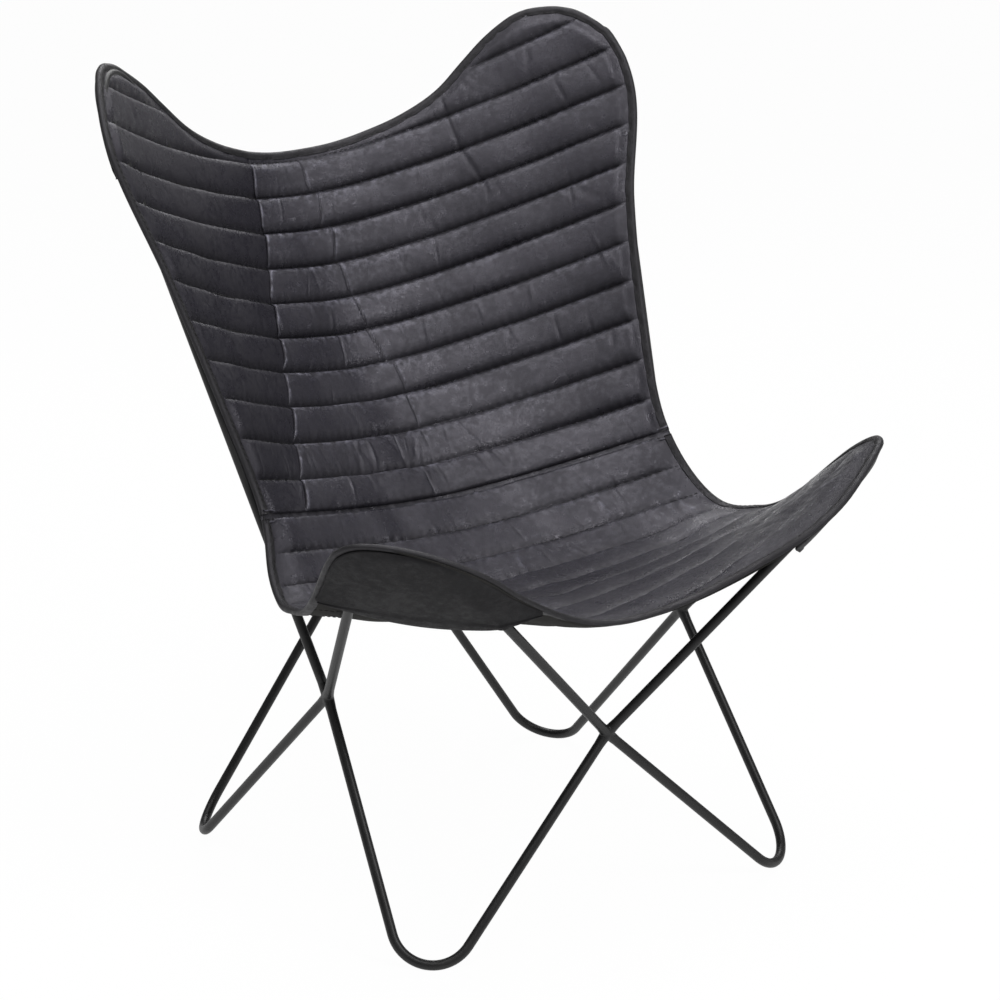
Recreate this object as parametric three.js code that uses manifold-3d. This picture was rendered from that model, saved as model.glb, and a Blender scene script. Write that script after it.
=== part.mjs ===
// Butterfly sling chair: a welded frame of eight bent steel rods carries a quilted leather
// sling by four corner pockets. Millimetres, +Z up, the sitter faces -Y.

import * as THREE from 'three';
import { mergeVertices } from 'three/addons/utils/BufferGeometryUtils.js';
import Module from 'manifold-3d';

// Frame rod
const ROD_DIAMETER = 11;
const FOOT_BEND_RADIUS = 45;
const TIP_BEND_RADIUS = 55;
const FOOT_FLAT_DEPTH = 0.8;
const FOOT_SETTLE_PASSES = 12;
const FLOOR_BLOCK_SPAN = 2000;
const FLOOR_BLOCK_DEPTH = 100;
const ROD_SIDES = 12;
const BEND_STEPS = 12;

// Welds: four rod ends run into each one
const WELD_REACH = 14;
const WELD_SWELL = 1.2;
const SIDE_WELD_HALF_SPAN = 243;
const SIDE_WELD_HEIGHT = 252;
const FRONT_WELD_REACH = 181;
const FRONT_WELD_HEIGHT = 212;
const REAR_WELD_REACH = 279;
const REAR_WELD_HEIGHT = 340;

// Feet: centres of the foot bends, reached forwards or backwards from the side welds
const FRONT_FOOT_HALF_SPAN = 223;
const FRONT_FOOT_REACH = 172;
const REAR_FOOT_HALF_SPAN = 231;
const REAR_FOOT_REACH = 257;

// Tips: outermost points of the upper bends, on the rod's centre line
const FRONT_TIP_HALF_SPAN = 309;
const FRONT_TIP_REACH = 254;
const FRONT_TIP_HEIGHT = 495;
const BACK_TIP_HALF_SPAN = 321;
const BACK_TIP_REACH = 302;
const BACK_TIP_HEIGHT = 896;

// Sling layers, counted from the side that lies on the rods
const FIT_GAP = 0.3;
const LINING_THICKNESS = 1.2;
const WADDING_AT_STITCH = 1;
const FACE_THICKNESS = 1.6;
const BACK_CROWN = 7;
const SEAT_CROWN = 4;
const BACK_CHANNELS = 12;
const SEAT_CHANNELS = 9;
const BACK_CHANNEL_FACETS = 3;
const SEAT_CHANNEL_FACETS = 2;
const HEM_WIDTH = 12;

// Seam between the back and the seat, and the strip along the free edges
const SEAM_UP_SIDE_ROD = 207;
const WELT_WIDTH = 6;
const WELT_RISE = 1;
const BINDING_WIDTH = 2;
const BINDING_RISE = 0.4;
const BINDING_MITRE_LIMIT = 0.5;

// Pockets over the four tips
const POCKET_THICKNESS = 1.4;
const POCKET_RIM_INSET = 1.5;
const POCKET_SEAM_GAP = 0.6;
const POCKET_LIP = 3;
const POCKET_STEP = 30;
const FRONT_POCKET = { endDepth: 2, belly: 26, tuck: 4 };
const BACK_POCKET = { endDepth: 12, belly: 30, tuck: 12 };

// Side edge of the hanging sling at its stations: how far outside the rod and over its upper side it lies.
// The back's five stations share the side rod evenly, from the corner past the tip down to the seam.
const TIP_CORNER_OVER = 45;
const BACK_EDGE = [
  { out: -12, over: 5 },
  { out: 29, over: 3.5 },
  { out: 10, over: 2 },
  { out: 4, over: 1 },
  { out: 12, over: 1 },
];

// The seat's three stations, each at its share of the way to the front tip.
const SEAT_EDGE = [
  { share: 0.3, out: 66, over: 34 },
  { share: 0.56, out: 49, over: -6 },
  { share: 1.29, out: 52, over: 13 },
];

// Hang of the sling's middle below the line between its two edges, at the same eight stations.
const HANG_BACK = [143, 165, 150, 121, 61, 20, -31, -74];
const HANG_DOWN = [127, 115, 102, 81, 48, 36, 54, 198];
const HANG_POWER = 1.6;
const SEAM_STATION = 4;
const LAST_STATION = 7;
const NORMAL_STEP = 1e-3;

// Cut of the leather: share of the half width, and the stations where the neck and the front edge lie.
const CUT = [
  { across: 0, neck: 0.565, front: 6.62 },
  { across: 0.32, neck: 0.52, front: 6.72 },
  { across: 0.58, neck: 0.29, front: 6.97 },
  { across: 0.8, neck: 0.085, front: 6.84 },
  { across: 0.9, neck: 0.14, front: 6.62 },
  { across: 0.955, neck: 0.29, front: 6.42 },
  { across: 1, neck: 0.65, front: 5.63 },
];
const BACK_POCKET_FOOT = 1.5;
const FRONT_POCKET_FOOT = 0.35;
const BACK_POCKET_START = 2;
const FRONT_POCKET_START = 1;

const rodRadius = ROD_DIAMETER / 2;
const rodClear = rodRadius + FIT_GAP;
const vec = (x, y, z) => new THREE.Vector3(x, y, z);

const wasm = await Module();
wasm.setup();

const frameSteel = new THREE.MeshStandardMaterial({ color: 0x232324, roughness: 0.5, metalness: 0.4 });
const faceLeather = new THREE.MeshStandardMaterial({ color: 0x3b393e, roughness: 0.55, metalness: 0 });
const bindingLeather = new THREE.MeshStandardMaterial({ color: 0x2c2b2d, roughness: 0.55, metalness: 0 });
const pocketLeather = new THREE.MeshStandardMaterial({ color: 0x323133, roughness: 0.6, metalness: 0 });
const liningCloth = new THREE.MeshStandardMaterial({ color: 0x2f2e2d, roughness: 0.9, metalness: 0 });
const waddingFibre = new THREE.MeshStandardMaterial({ color: 0xd9d6cf, roughness: 1, metalness: 0 });

const chair = new THREE.Group();

function addPiece(name, geometry, material) {
  const mesh = new THREE.Mesh(geometry, material);
  mesh.name = name;
  chair.add(mesh);
}

function toSolid(geometry) {
  const bare = geometry.clone();
  bare.deleteAttribute('normal');
  bare.deleteAttribute('uv');
  const merged = mergeVertices(bare, 1e-4);
  const vertProperties = new Float32Array(merged.attributes.position.array);
  const triVerts = new Uint32Array(merged.index.array);
  return new wasm.Manifold(new wasm.Mesh({ numProp: 3, vertProperties, triVerts }));
}

function toGeometry(solid) {
  const mesh = solid.getMesh();
  const geometry = new THREE.BufferGeometry();
  geometry.setAttribute('position', new THREE.BufferAttribute(mesh.vertProperties, 3));
  geometry.setIndex(new THREE.BufferAttribute(mesh.triVerts, 1));
  return geometry;
}

// Bent rod: a straight leg from one weld, a round bend, and a straight leg to the other weld.
class BentRod extends THREE.Curve {
  constructor(weldA, weldB, centre, radius) {
    super();
    const toA = weldA.clone().sub(centre);
    const toB = weldB.clone().sub(centre);
    const turnA = Math.acos(radius / toA.length());
    const turnB = Math.acos(radius / toB.length());
    const opening = toA.angleTo(toB);
    this.along = toA.clone().normalize();
    this.aside = toB.clone().projectOnVector(this.along).sub(toB).normalize();
    this.centre = centre;
    this.radius = radius;
    this.startAngle = turnA;
    this.endAngle = 2 * Math.PI - opening - turnB;
    this.legA = this.onBend(this.startAngle).sub(weldA).normalize();
    this.legB = this.onBend(this.endAngle).sub(weldB).normalize();
    this.endA = weldA.clone().addScaledVector(this.legA, WELD_REACH + FIT_GAP);
    this.endB = weldB.clone().addScaledVector(this.legB, WELD_REACH + FIT_GAP);
  }

  onBend(angle) {
    const point = this.centre.clone().addScaledVector(this.along, this.radius * Math.cos(angle));
    return point.addScaledVector(this.aside, this.radius * Math.sin(angle));
  }

  // Sampled evenly over one step for each leg and BEND_STEPS steps for the bend.
  getPoint(t) {
    const step = t * (BEND_STEPS + 2);
    const bendShare = THREE.MathUtils.clamp((step - 1) / BEND_STEPS, 0, 1);
    const onBend = this.onBend(THREE.MathUtils.lerp(this.startAngle, this.endAngle, bendShare));
    if (step < 1) return this.endA.clone().lerp(onBend, step);
    if (step > BEND_STEPS + 1) return onBend.lerp(this.endB, step - BEND_STEPS - 1);
    return onBend;
  }

  getUtoTmapping(u) {
    return u;
  }

  geometry() {
    const section = new THREE.Shape().absarc(0, 0, rodRadius, 0, 2 * Math.PI);
    const steps = BEND_STEPS + 2;
    return new THREE.ExtrudeGeometry(section, { steps, curveSegments: ROD_SIDES / 2, extrudePath: this });
  }
}

// A foot's bend centre stands at the height that sets the rod's flat on the floor.
function footRod(weldA, weldB, x, y) {
  const lowest = rodRadius - FOOT_FLAT_DEPTH;
  const centre = vec(x, y, lowest + FOOT_BEND_RADIUS);
  for (let pass = 0; pass < FOOT_SETTLE_PASSES; pass += 1) {
    const normal = weldA.clone().sub(centre).cross(weldB.clone().sub(centre)).normalize();
    centre.z = lowest + FOOT_BEND_RADIUS * Math.sqrt(1 - normal.z * normal.z);
  }
  return new BentRod(weldA, weldB, centre, FOOT_BEND_RADIUS);
}

// A tip's bend lies inside its outermost point, on the line that halves the two legs.
function tipRod(weldA, weldB, tip) {
  const toA = weldA.clone().sub(tip).normalize();
  const toB = weldB.clone().sub(tip).normalize();
  const centre = tip.clone().addScaledVector(toA.add(toB).normalize(), TIP_BEND_RADIUS);
  return new BentRod(weldA, weldB, centre, TIP_BEND_RADIUS);
}

const frontWeld = vec(0, -FRONT_WELD_REACH, FRONT_WELD_HEIGHT);
const rearWeld = vec(0, REAR_WELD_REACH, REAR_WELD_HEIGHT);
const welds = { front: { at: frontWeld, legs: [] }, rear: { at: rearWeld, legs: [] } };
const floor = new THREE.BoxGeometry(FLOOR_BLOCK_SPAN, FLOOR_BLOCK_SPAN, FLOOR_BLOCK_DEPTH);
floor.translate(0, 0, -FLOOR_BLOCK_DEPTH / 2);
const sides = { left: -1, right: 1 };

for (const [name, side] of Object.entries(sides)) {
  const sideWeld = vec(side * SIDE_WELD_HALF_SPAN, 0, SIDE_WELD_HEIGHT);
  const frontTip = vec(side * FRONT_TIP_HALF_SPAN, -FRONT_TIP_REACH, FRONT_TIP_HEIGHT);
  const backTip = vec(side * BACK_TIP_HALF_SPAN, BACK_TIP_REACH, BACK_TIP_HEIGHT);
  const frontFoot = footRod(sideWeld, frontWeld, side * FRONT_FOOT_HALF_SPAN, -FRONT_FOOT_REACH);
  const rearFoot = footRod(sideWeld, rearWeld, side * REAR_FOOT_HALF_SPAN, REAR_FOOT_REACH);
  const frontArm = tipRod(sideWeld, frontWeld, frontTip);
  const backArm = tipRod(sideWeld, rearWeld, backTip);
  welds[name] = { at: sideWeld, legs: [frontFoot, rearFoot, frontArm, backArm].map((rod) => rod.legA) };
  welds.front.legs.push(frontFoot.legB, frontArm.legB);
  welds.rear.legs.push(rearFoot.legB, backArm.legB);
  const standing = { [`front_${name}_foot_rod`]: frontFoot, [`rear_${name}_foot_rod`]: rearFoot };
  for (const [rodName, rod] of Object.entries(standing)) {
    addPiece(rodName, toGeometry(toSolid(rod.geometry()).subtract(toSolid(floor))), frameSteel);
  }
  addPiece(`front_${name}_tip_rod`, frontArm.geometry(), frameSteel);
  addPiece(`back_${name}_tip_rod`, backArm.geometry(), frameSteel);
}

// Weld: the rod ends fused and ground to a smooth knot, with a short sleeve towards each rod.
for (const [name, weld] of Object.entries(welds)) {
  const knotRadius = rodRadius + WELD_SWELL;
  let knot = toSolid(new THREE.SphereGeometry(knotRadius, ROD_SIDES, ROD_SIDES / 2));
  for (const leg of weld.legs) {
    const sleeve = new THREE.CylinderGeometry(rodRadius, knotRadius, WELD_REACH, ROD_SIDES);
    sleeve.translate(0, WELD_REACH / 2, 0);
    sleeve.applyQuaternion(new THREE.Quaternion().setFromUnitVectors(vec(0, 1, 0), leg));
    knot = knot.add(toSolid(sleeve));
  }
  addPiece(`${name}_weld`, toGeometry(knot).translate(...weld.at.toArray()), frameSteel);
}

// Plane of a right-hand tip's two legs: its rod's direction, the way out of the V and the sitter's side.
function tipPlane(tip, midWeld) {
  const origin = vec(SIDE_WELD_HALF_SPAN, 0, SIDE_WELD_HEIGHT);
  const rod = tipRod(origin, midWeld, tip);
  const up = rod.legA.clone();
  const toSitter = up.clone().cross(midWeld.clone().sub(origin)).normalize();
  if (toSitter.z < 0) toSitter.negate();
  const out = toSitter.clone().cross(up);
  if (out.x < 0) out.negate();
  return { origin, up, out, toSitter, reach: origin.distanceTo(tip), centre: rod.centre };
}

const backPlane = tipPlane(vec(BACK_TIP_HALF_SPAN, BACK_TIP_REACH, BACK_TIP_HEIGHT), rearWeld);
const frontPlane = tipPlane(vec(FRONT_TIP_HALF_SPAN, -FRONT_TIP_REACH, FRONT_TIP_HEIGHT), frontWeld);

function besideRod(plane, along, { out, over }) {
  const point = plane.origin.clone().addScaledVector(plane.up, along);
  return point.addScaledVector(plane.out, out).addScaledVector(plane.toSitter, rodClear + over);
}

const cornerAlong = backPlane.reach + TIP_CORNER_OVER;
const backEdge = BACK_EDGE.map((edge, station) => {
  const along = THREE.MathUtils.lerp(cornerAlong, SEAM_UP_SIDE_ROD, station / SEAM_STATION);
  return besideRod(backPlane, along, edge);
});
const seatEdge = SEAT_EDGE.map((edge) => besideRod(frontPlane, edge.share * frontPlane.reach, edge));
const hang = HANG_BACK.map((back, station) => vec(0, back, -HANG_DOWN[station]));
const edgeCurve = new THREE.CatmullRomCurve3([...backEdge, ...seatEdge], false, 'catmullrom', 0.5);
const hangCurve = new THREE.CatmullRomCurve3(hang, false, 'catmullrom', 0.5);

// Underside of the hanging sling: across runs from -1 to 1, station from the back's corner to the front's.
function slingPoint(across, station) {
  const edge = edgeCurve.getPoint(station / LAST_STATION);
  const drop = hangCurve.getPoint(station / LAST_STATION);
  const share = 1 - Math.abs(across) ** HANG_POWER;
  return vec(across * edge.x, edge.y + drop.y * share, edge.z + drop.z * share);
}

function slingNormal(across, station) {
  const down = slingPoint(across, station + NORMAL_STEP).sub(slingPoint(across, station - NORMAL_STEP));
  const over = slingPoint(across + NORMAL_STEP, station).sub(slingPoint(across - NORMAL_STEP, station));
  return down.cross(over).normalize();
}

// Closed solid between two matching sets of points, with the triangles of its upper side.
function closedSheet(lower, upper, triangles) {
  const count = lower.length;
  const faces = [];
  const edges = new Set();
  for (const [a, b, c] of triangles) {
    faces.push(count + a, count + b, count + c, a, c, b);
    for (const edge of [[a, b], [b, c], [c, a]]) edges.add(edge.join());
  }
  for (const key of edges) {
    const [a, b] = key.split(',').map(Number);
    if (!edges.has(`${b},${a}`)) faces.push(count + b, count + a, a, count + b, a, b);
  }
  const geometry = new THREE.BufferGeometry().setFromPoints([...lower, ...upper]);
  geometry.setIndex(faces);
  return geometry;
}

// Triangles between neighbouring columns of points, stepping down whichever column is behind.
function columnTriangles(columns) {
  const triangles = [];
  let first = 0;
  for (let k = 0; k + 1 < columns.length; k += 1) {
    const [near, far] = [columns[k], columns[k + 1]];
    const second = first + near.length;
    let [i, j] = [0, 0];
    while (i + 1 < near.length || j + 1 < far.length) {
      const stepNear = j + 1 === far.length
        || (i + 1 < near.length && near[i + 1].station <= far[j + 1].station);
      const next = stepNear ? first + i + 1 : second + j + 1;
      triangles.push([first + i, next, second + j]);
      if (stepNear) i += 1;
      else j += 1;
    }
    first = second;
  }
  return triangles;
}

const mirroredCut = [...CUT.slice(1).reverse().map((c) => ({ ...c, across: -c.across })), ...CUT];
const stationLength = slingPoint(0, 1).distanceTo(slingPoint(0, SEAM_STATION)) / (SEAM_STATION - 1);
const weltHalf = (WELT_WIDTH / 2 + FIT_GAP) / stationLength;

// Panel grid: one column for each cut, rows at every facet of every channel, trimmed to the outline.
function panelColumns(from, to, firstStation, lastStation, facets) {
  const rowGap = (lastStation - firstStation) / facets;
  return mirroredCut.map((cut) => {
    const [start, end] = [from(cut), to(cut)];
    const column = [{ across: cut.across, station: start }];
    for (let row = 0; row <= facets; row += 1) {
      const station = firstStation + row * rowGap;
      const clear = rowGap / 3;
      if (station > start + clear && station < end - clear) column.push({ across: cut.across, station });
    }
    column.push({ across: cut.across, station: end });
    for (const point of column) {
      const toSide = (1 - Math.abs(cut.across)) * edgeCurve.getPoint(point.station / LAST_STATION).x;
      const toTop = firstStation === 0 ? (point.station - start) * stationLength : Infinity;
      const toFront = firstStation === 0 ? Infinity : (end - point.station) * stationLength;
      point.inset = Math.min(1, Math.min(toSide, toTop, toFront) / HEM_WIDTH);
    }
    return column;
  });
}

// Height of the wadding: pinched at each stitched line, crowned between them, flat in the hem.
function crownHeight(point, firstStation, channelLength, crown) {
  const phase = ((point.station - firstStation) / channelLength) % 1;
  return crown * point.inset * Math.sqrt(Math.max(0, Math.sin(Math.PI * phase)));
}

function addPanel(name, columns, crownAt) {
  const points = columns.flat();
  const triangles = columnTriangles(columns);
  const raise = (height) => points.map((p) =>
    slingPoint(p.across, p.station).addScaledVector(slingNormal(p.across, p.station), height(p)));
  const waddingFoot = LINING_THICKNESS + FIT_GAP;
  const waddingTop = (p) => waddingFoot + WADDING_AT_STITCH + crownAt(p);
  const layers = [
    ['lining', liningCloth, () => 0, () => LINING_THICKNESS],
    ['wadding', waddingFibre, () => waddingFoot, waddingTop],
    ['face', faceLeather, (p) => waddingTop(p) + FIT_GAP, (p) => waddingTop(p) + FIT_GAP + FACE_THICKNESS],
  ];
  for (const [layer, material, bottom, top] of layers) {
    addPiece(`${name}_${layer}`, closedSheet(raise(bottom), raise(top), triangles), material);
  }
}

const backChannel = SEAM_STATION / BACK_CHANNELS;
const seatChannel = (LAST_STATION - SEAM_STATION) / SEAT_CHANNELS;
const backColumns = panelColumns((cut) => cut.neck, () => SEAM_STATION - weltHalf, 0, SEAM_STATION,
  BACK_CHANNELS * BACK_CHANNEL_FACETS);
const seatColumns = panelColumns(() => SEAM_STATION + weltHalf, (cut) => cut.front, SEAM_STATION,
  LAST_STATION, SEAT_CHANNELS * SEAT_CHANNEL_FACETS);
addPanel('back', backColumns, (p) => crownHeight(p, 0, backChannel, BACK_CROWN));
addPanel('seat', seatColumns, (p) => crownHeight(p, SEAM_STATION, seatChannel, SEAT_CROWN));

// Welt: the strip that covers the seam where the back and the seat are sewn together.
const slingThickness = LINING_THICKNESS + WADDING_AT_STITCH + FACE_THICKNESS + 2 * FIT_GAP;
const weltEdge = WELT_WIDTH / 2 / stationLength;
const weltColumns = mirroredCut.map(({ across }) => [SEAM_STATION - weltEdge, SEAM_STATION + weltEdge]
  .map((station) => ({ across, station })));
const weltAt = (height) => weltColumns.flat().map((p) =>
  slingPoint(p.across, p.station).addScaledVector(slingNormal(p.across, p.station), height));
const weltTriangles = columnTriangles(weltColumns);
const weltTop = weltAt(slingThickness + WELT_RISE);
addPiece('seam_welt', closedSheet(weltAt(0), weltTop, weltTriangles), bindingLeather);

// Binding: a folded strip along the free edge, just outside the cut layers.
function addBinding(name, outline) {
  const points = outline.map((p) => slingPoint(p.across, p.station));
  const normals = outline.map((p) => slingNormal(p.across, p.station));
  const outward = points.map((point, k) => {
    const previous = points[Math.max(0, k - 1)];
    const next = points[Math.min(points.length - 1, k + 1)];
    const before = normals[k].clone().cross(point.clone().sub(previous)).normalize();
    const after = normals[k].clone().cross(next.clone().sub(point)).normalize();
    const mid = before.clone().add(after).normalize();
    const lean = Math.max(BINDING_MITRE_LIMIT, mid.dot(before), mid.dot(after));
    return mid.divideScalar(lean);
  });
  const ring = (height) => points.flatMap((point, k) => [FIT_GAP, FIT_GAP + BINDING_WIDTH].map((out) =>
    point.clone().addScaledVector(outward[k], out).addScaledVector(normals[k], height)));
  const triangles = [];
  for (let k = 0; k + 1 < points.length; k += 1) {
    const a = 2 * k;
    triangles.push([a, a + 3, a + 1], [a, a + 2, a + 3]);
  }
  addPiece(name, closedSheet(ring(0), ring(slingThickness + BINDING_RISE), triangles), bindingLeather);
}

const firstOf = (column) => column[0];
const lastOf = (column) => column[column.length - 1];
const backSides = [backColumns[0], lastOf(backColumns)];
const seatSides = [seatColumns[0], lastOf(seatColumns)];
addBinding('back_binding',
  [...[...backSides[0]].reverse(), ...backColumns.slice(1, -1).map(firstOf), ...backSides[1]]);
addBinding('seat_binding',
  [...seatSides[1], ...seatColumns.slice(1, -1).map(lastOf).reverse(), ...[...seatSides[0]].reverse()]);

// Pocket: a leather panel sewn along the corner's edge that passes under the rod's bend. Its mouth
// runs from one end of the seam to the other, and only its ends stay up beside the rod.
function addPocket(name, side, plane, outline, { endDepth, belly, tuck }) {
  const level = (point) => point.clone().sub(plane.origin).dot(plane.toSitter);
  const rim = [];
  const normals = [];
  for (const p of outline) {
    const normal = slingNormal(p.across, p.station);
    const under = slingPoint(p.across, p.station).addScaledVector(normal, -POCKET_SEAM_GAP);
    const inward = plane.centre.clone().sub(under).projectOnPlane(normal).normalize();
    under.addScaledVector(inward, POCKET_RIM_INSET);
    const previous = rim[rim.length - 1];
    if (previous && previous.distanceTo(under) > POCKET_STEP) {
      rim.push(previous.clone().lerp(under, 0.5));
      normals.push(normals[normals.length - 1].clone().add(normal).normalize());
    }
    rim.push(under);
    normals.push(normal);
  }
  const last = rim.length - 1;
  const bend = rim.map((point, k) => {
    const lip = level(point) - POCKET_LIP;
    const share = Math.min(1, tuck * Math.sin(Math.PI * k / last));
    const drop = THREE.MathUtils.lerp(lip, Math.min(-rodClear, lip), share) - level(point);
    return point.clone().addScaledVector(plane.toSitter, drop);
  });
  const seamMiddle = bend[0].clone().lerp(bend[last], 0.5);
  const away = seamMiddle.sub(plane.centre).projectOnPlane(plane.toSitter).normalize();
  const mouth = bend.map((point, k) => {
    const depth = endDepth + belly * Math.sin(Math.PI * k / last);
    const onLine = bend[0].clone().lerp(bend[last], k / last).addScaledVector(away, depth);
    return onLine.addScaledVector(plane.toSitter, level(point) - level(onLine));
  });
  const middle = bend.map((point, k) => point.clone().lerp(mouth[k], 0.5));
  const rows = [rim, bend, middle, mouth];
  const at = (r, k) => rows[THREE.MathUtils.clamp(r, 0, rows.length - 1)][THREE.MathUtils.clamp(k, 0, last)];
  const inner = [];
  const outer = [];
  const triangles = [];
  for (let r = 0; r < rows.length; r += 1) {
    for (let k = 0; k <= last; k += 1) {
      const along = at(r, k + 1).clone().sub(at(r, k - 1));
      const down = at(r + 1, k).clone().sub(at(r - 1, k));
      const facing = along.cross(down);
      if (r === 0) facing.projectOnPlane(normals[k]);
      facing.normalize();
      inner.push(at(r, k).clone());
      outer.push(at(r, k).clone().addScaledVector(facing, POCKET_THICKNESS));
      if (r < rows.length - 1 && k < last) {
        const a = r * (last + 1) + k;
        triangles.push([a, a + 1, a + last + 2], [a, a + last + 2, a + last + 1]);
      }
    }
  }
  const geometry = closedSheet(inner, outer, triangles);
  if (side < 0) {
    geometry.scale(-1, 1, 1);
    geometry.index.array.reverse();
  }
  addPiece(name, geometry, pocketLeather);
}

const neckCorner = CUT.slice(BACK_POCKET_START, -1).map((c) => ({ across: c.across, station: c.neck }));
const backPocketSide = lastOf(backColumns).filter((p) => p.station <= BACK_POCKET_FOOT);
const backPocketOutline = [...neckCorner, ...backPocketSide];
const frontCorner = CUT.slice(FRONT_POCKET_START).reverse()
  .map((c) => ({ across: c.across, station: c.front }));
const [wingEnd, wingTop] = frontCorner;
const frontPocketFoot = {
  across: THREE.MathUtils.lerp(wingTop.across, wingEnd.across, FRONT_POCKET_FOOT),
  station: THREE.MathUtils.lerp(wingTop.station, wingEnd.station, FRONT_POCKET_FOOT),
};
const frontPocketOutline = [frontPocketFoot, ...frontCorner.slice(1)];
for (const [name, side] of Object.entries(sides)) {
  addPocket(`back_${name}_pocket`, side, backPlane, backPocketOutline, BACK_POCKET);
  addPocket(`front_${name}_pocket`, side, frontPlane, frontPocketOutline, FRONT_POCKET);
}

// The origin is on the floor, under the middle of the whole chair.
const box = new THREE.Box3().setFromObject(chair, true);
chair.position.y = -(box.min.y + box.max.y) / 2;

export default chair;
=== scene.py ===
"""Butterfly sling chair: a quilted leather sling on a welded steel rod frame, dressed for rendering.
Metres, +Z up, the sitter faces -Y, and left and right are the viewer's."""

from math import cos, pi, radians, sin

import bmesh
import bpy
import numpy as np
from mathutils import Matrix


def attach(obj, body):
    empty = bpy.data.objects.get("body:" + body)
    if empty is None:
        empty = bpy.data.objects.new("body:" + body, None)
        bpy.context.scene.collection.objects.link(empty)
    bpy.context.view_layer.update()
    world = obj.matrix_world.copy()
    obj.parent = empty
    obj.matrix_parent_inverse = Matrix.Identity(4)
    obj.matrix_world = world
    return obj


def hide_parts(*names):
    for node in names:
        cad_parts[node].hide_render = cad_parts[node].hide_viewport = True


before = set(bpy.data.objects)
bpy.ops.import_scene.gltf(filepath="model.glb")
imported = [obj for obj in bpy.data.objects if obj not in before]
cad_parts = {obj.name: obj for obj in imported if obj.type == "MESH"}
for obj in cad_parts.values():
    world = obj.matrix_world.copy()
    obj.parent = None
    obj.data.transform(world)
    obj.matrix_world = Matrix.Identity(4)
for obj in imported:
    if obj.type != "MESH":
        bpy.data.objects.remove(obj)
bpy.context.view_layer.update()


# Frame rods: eight lengths of 11 mm round steel bar, each bent once. Four bends stand on
# the floor on a small worn flat, and four stick up as the tips that carry the sling.
# The finished frame is coated in satin black powder.
ROD_RADIUS = 0.0055
ROD_SIDES = 28
BEND_STEPS = 40
LEG_STEPS = 24
FOOT_BEND_RADIUS = 0.045
TIP_BEND_RADIUS = 0.055
FOOT_FLAT_DEPTH = 0.0008
MIDDLE_Y = -0.04976
SIDE_WELD = np.array([0.243, MIDDLE_Y, 0.252])
FRONT_WELD = np.array([0, MIDDLE_Y - 0.181, 0.212])
REAR_WELD = np.array([0, MIDDLE_Y + 0.279, 0.340])
FRONT_FOOT = np.array([0.223, MIDDLE_Y - 0.172, 0])
REAR_FOOT = np.array([0.231, MIDDLE_Y + 0.257, 0])
FRONT_TIP = np.array([0.309, MIDDLE_Y - 0.254, 0.495])
BACK_TIP = np.array([0.321, MIDDLE_Y + 0.302, 0.896])
# The hidden bends are drawn aside, so that they lie inside the crooked sling's pockets.
TIP_PULL = {
    "back_left": np.array([0.0028, -0.0066, -0.0003]), "back_right": np.array([-0.026, 0, 0]),
    "front_left": np.array([-0.0105, 0.0175, -0.0056]), "front_right": np.array([-0.0162, -0.0083, -0.0019]),
}
SIDES = {"left": np.array([-1.0, 1.0, 1.0]), "right": np.ones(3)}


def unit(vectors):
    return vectors / np.linalg.norm(vectors, axis=-1, keepdims=True)


def ease(value, low, high):
    share = np.clip((value - low) / (high - low), 0, 1)
    return share * share * (3 - 2 * share)


def place(tree, kind, inputs=None, **settings):
    """Adds a node; an input is a number, a colour or another node's output."""
    node = tree.nodes.new(kind)
    for name, value in settings.items():
        setattr(node, name, value)
    for name, value in (inputs or {}).items():
        if isinstance(value, bpy.types.NodeSocket):
            tree.links.new(value, node.inputs[name])
        else:
            node.inputs[name].default_value = value
    return node


def new_finish(name, roughness, specular):
    """A material with its node tree and its Principled shader."""
    material = bpy.data.materials.new(name)
    material.use_nodes = True
    shader = material.node_tree.nodes["Principled BSDF"]
    shader.inputs["Roughness"].default_value = roughness
    shader.inputs["Specular IOR Level"].default_value = specular
    return material, material.node_tree, shader


def add_piece(name, points, faces, material, slot, *nodes):
    mesh = bpy.data.meshes.new(name)
    mesh.from_pydata([tuple(p) for p in points], [], faces)
    mesh.shade_smooth()
    mesh.materials.append(material)
    piece = bpy.data.objects.new(name, mesh)
    bpy.context.scene.collection.objects.link(piece)
    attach(piece, "root")
    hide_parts(*nodes)
    return piece


def bump(tree, height, strength, distance):
    """Normal of a surface with a small relief."""
    given = {"Height": height, "Strength": strength, "Distance": distance}
    return place(tree, "ShaderNodeBump", given).outputs["Normal"]


def bent_line(weld_a, weld_b, centre, radius):
    """Centre line of a rod: a straight leg, a round bend and a straight leg."""
    to_a, to_b = weld_a - centre, weld_b - centre
    along = unit(to_a)
    aside = unit(along * (to_b @ along) - to_b)
    start = np.arccos(radius / np.linalg.norm(to_a))
    opening = np.arccos(np.clip(along @ unit(to_b), -1, 1))
    end = 2 * pi - opening - np.arccos(radius / np.linalg.norm(to_b))
    angle = np.linspace(start, end, BEND_STEPS + 1)[:, None]
    bend = centre + radius * (np.cos(angle) * along + np.sin(angle) * aside)
    share = np.linspace(0, 1, LEG_STEPS, endpoint=False)[:, None]
    leg_a = weld_a + (bend[0] - weld_a) * share
    leg_b = weld_b + (bend[-1] - weld_b) * share
    return np.vstack([leg_a, bend, leg_b[::-1]])


def foot_line(weld_a, weld_b, foot):
    """The bend's centre stands at the height that sets the rod's flat on the floor."""
    lowest = ROD_RADIUS - FOOT_FLAT_DEPTH
    centre = foot + np.array([0, 0, lowest + FOOT_BEND_RADIUS])
    for _ in range(12):
        normal = unit(np.cross(weld_a - centre, weld_b - centre))
        centre[2] = lowest + FOOT_BEND_RADIUS * np.sqrt(1 - normal[2] ** 2)
    return bent_line(weld_a, weld_b, centre, FOOT_BEND_RADIUS)


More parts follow.
